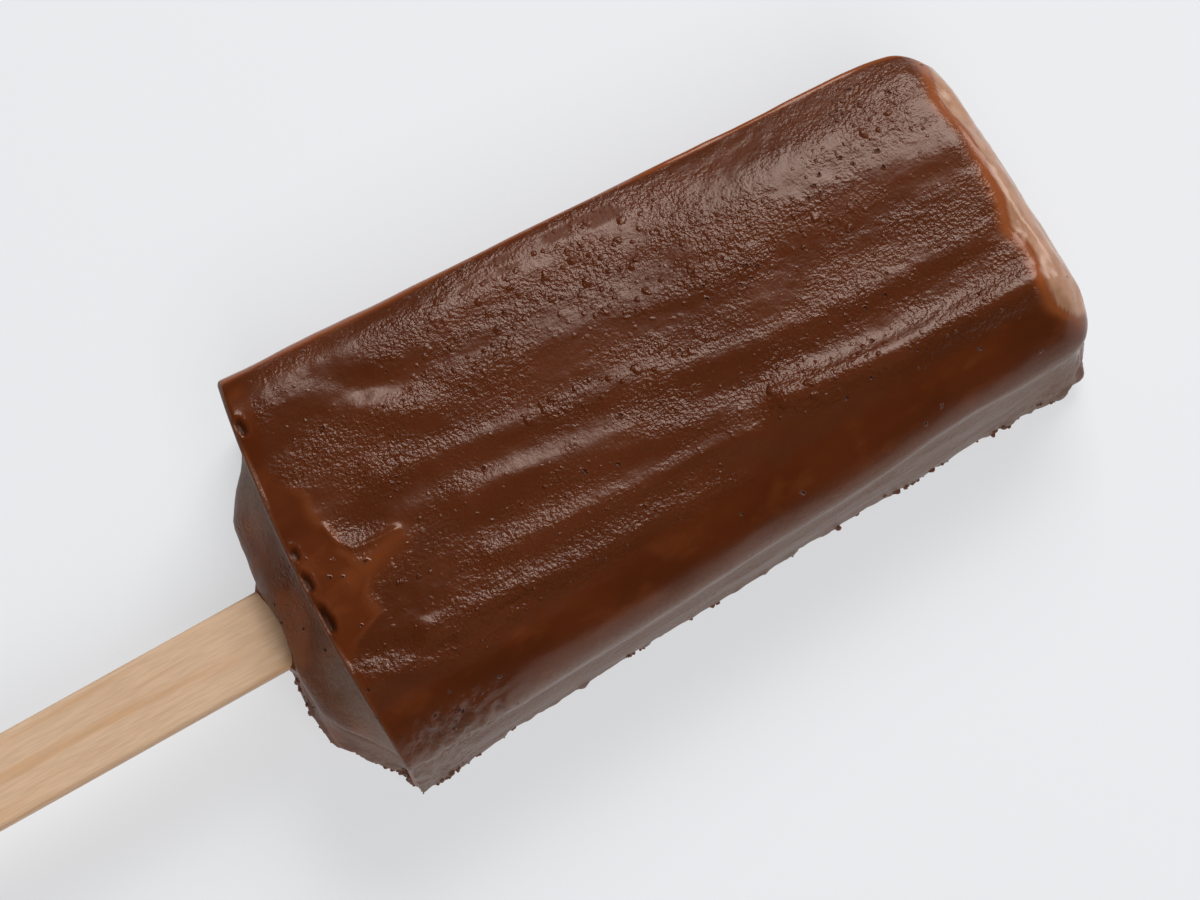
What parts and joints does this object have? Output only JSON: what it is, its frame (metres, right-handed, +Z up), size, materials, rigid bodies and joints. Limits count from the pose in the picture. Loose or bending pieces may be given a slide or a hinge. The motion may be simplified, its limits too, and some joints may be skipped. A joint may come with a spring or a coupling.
{
  "type": "ice cream bar",
  "caption": "Tapered chocolate ice cream bar with rounded edges, a rim and dome at one end, and a flat wooden stick frozen in.",
  "frame": {"origin": "middle of the footprint of the bar and stick together, on the surface the bar lies on", "axes": "+X along the bar towards its tip, +Z up out of the bar's front face, +Y across the bar"},
  "size_m": [0.1536, 0.051, 0.0253],
  "materials": {
    "chocolate_ice": "chocolate ice cream, satin with a wet melting skin, pebbled and furrowed",
    "birch": "bare pale birch, fine lengthwise grain"
  },
  "bodies": {
    "root": {"ice_bar": "chocolate_ice", "stick": "birch"}
  },
  "joints": []
}
